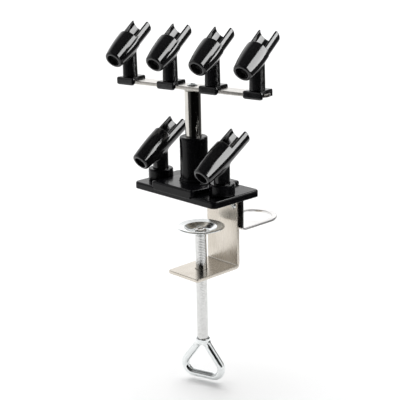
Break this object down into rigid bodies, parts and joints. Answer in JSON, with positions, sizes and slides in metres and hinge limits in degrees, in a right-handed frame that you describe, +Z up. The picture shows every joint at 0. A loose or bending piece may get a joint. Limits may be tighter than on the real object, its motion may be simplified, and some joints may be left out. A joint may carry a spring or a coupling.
{
  "type": "rod holder",
  "caption": "Bench-clamp holder with slotted tube cradles on a swivelling bar and on the base, a screw clamp and a ring bracket.",
  "frame": {"origin": "on the upper jaw face that lies on the bench top, on the mast's axis", "axes": "+Z up along the mast, +X along the base, +Y towards the clamp's back plate and the ring"},
  "size_m": [0.1548, 0.1348, 0.3204],
  "materials": {
    "black_plastic": "glossy moulded ABS",
    "satin_nickel": "satin nickel plate on folded steel",
    "ring_nickel": "bright nickel plate",
    "bar_steel": "satin nickel plate",
    "mast_chrome": "polished chrome tube",
    "zinc": "bright zinc plate",
    "washer": "natural nylon",
    "fasteners": "bright zinc-plated steel"
  },
  "bodies": {
    "stand": {"clamp_bracket": "satin_nickel", "clamp_nut": "zinc", "base_plate": "black_plastic", "base_screws": "fasteners", "mast_saddle": "black_plastic", "mast_tube": "mast_chrome", "mast_plug": "zinc", "bar_washer": "washer", "bar_screw": "fasteners", "socket_left": "black_plastic", "socket_right": "black_plastic", "ring_bracket": "ring_nickel", "ring_screws": "fasteners", "ring_nuts": "fasteners"},
    "bar": {"top_bar": "bar_steel"},
    "clip_1": {"clip_1": "black_plastic"},
    "cradle_1": {"cradle_1": "black_plastic"},
    "clip_2": {"clip_2": "black_plastic"},
    "cradle_2": {"cradle_2": "black_plastic"},
    "clip_3": {"clip_3": "black_plastic"},
    "cradle_3": {"cradle_3": "black_plastic"},
    "clip_4": {"clip_4": "black_plastic"},
    "cradle_4": {"cradle_4": "black_plastic"},
    "cradle_lower_left": {"cradle_lower_left": "black_plastic"},
    "cradle_lower_right": {"cradle_lower_right": "black_plastic"},
    "foot": {"foot_cup": "zinc"},
    "screw": {"clamp_screw": "zinc", "handle_hub": "zinc", "handle_loop": "zinc"}
  },
  "joints": [
    {"name": "bar_swivel", "type": "hinge", "parent": "stand", "child": "bar", "pos_m": [0, 0, 0.0937], "axis": [0, 0, 1], "continuous": true},
    {"name": "clip_1_slide", "type": "slide", "parent": "bar", "child": "clip_1", "axis": [0.9839, 0.1788, 0], "range_m": [0, 0.012]},
    {"name": "cradle_1_swivel", "type": "hinge", "parent": "clip_1", "child": "cradle_1", "pos_m": [-0.06478, -0.0135, 0.09915], "axis": [0, 0, 1], "range_deg": [-45, 45]},
    {"name": "clip_2_slide", "type": "slide", "parent": "bar", "child": "clip_2", "axis": [0.9839, 0.1788, 0], "range_m": [-0.012, 0.008]},
    {"name": "cradle_2_swivel", "type": "hinge", "parent": "clip_2", "child": "cradle_2", "pos_m": [-0.02139, -0.00562, 0.09915], "axis": [0, 0, 1], "range_deg": [-45, 45]},
    {"name": "clip_3_slide", "type": "slide", "parent": "bar", "child": "clip_3", "axis": [0.9839, 0.1788, 0], "range_m": [-0.008, 0.012]},
    {"name": "cradle_3_swivel", "type": "hinge", "parent": "clip_3", "child": "cradle_3", "pos_m": [0.022, 0.00227, 0.09915], "axis": [0, 0, 1], "range_deg": [-45, 45]},
    {"name": "clip_4_slide", "type": "slide", "parent": "bar", "child": "clip_4", "axis": [0.9839, 0.1788, 0], "range_m": [-0.012, 0]},
    {"name": "cradle_4_swivel", "type": "hinge", "parent": "clip_4", "child": "cradle_4", "pos_m": [0.06539, 0.01016, 0.09915], "axis": [0, 0, 1], "range_deg": [-45, 45]},
    {"name": "lower_left_swivel", "type": "hinge", "parent": "stand", "child": "cradle_lower_left", "pos_m": [-0.0383, -0.0046, 0.0092], "axis": [0, 0, 1], "range_deg": [-50, 50]},
    {"name": "lower_right_swivel", "type": "hinge", "parent": "stand", "child": "cradle_lower_right", "pos_m": [0.0383, -0.0046, 0.0092], "axis": [0, 0, 1], "range_deg": [-50, 50]},
    {"name": "foot_lift", "type": "slide", "parent": "stand", "child": "foot", "axis": [0, 0, 1], "range_m": [-0.032, 0.0285]},
    {"name": "screw_turn", "type": "hinge", "parent": "foot", "child": "screw", "pos_m": [0, 0.006, -0.04], "axis": [0, 0, 1], "range_deg": [-7691, 6851]}
  ],
  "couplings": [
    {"joint": "screw_turn", "follows": "foot_lift", "rad_per_m": 4188.8}
  ]
}
